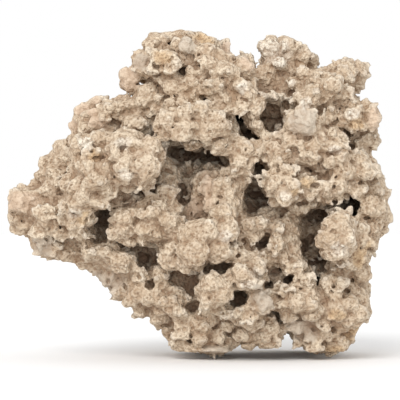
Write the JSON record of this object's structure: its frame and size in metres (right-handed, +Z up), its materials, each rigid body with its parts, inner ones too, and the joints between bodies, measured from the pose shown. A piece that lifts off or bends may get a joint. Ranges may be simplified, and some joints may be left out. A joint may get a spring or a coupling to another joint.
{
  "type": "aquarium reef rock",
  "caption": "One crumbly, cave-riddled piece of dry reef limestone that stands on its feet as the base of an aquarium scape",
  "frame": {"origin": "middle of the bounding box's bottom face, on the surface that the rock stands on", "axes": "+Z up, the cave-riddled front faces -Y, +X along the longest side"},
  "size_m": [0.2996, 0.1882, 0.2542],
  "materials": {
    "limestone": "matte"
  },
  "bodies": {
    "root": {"reef_rock": "limestone"}
  },
  "joints": []
}
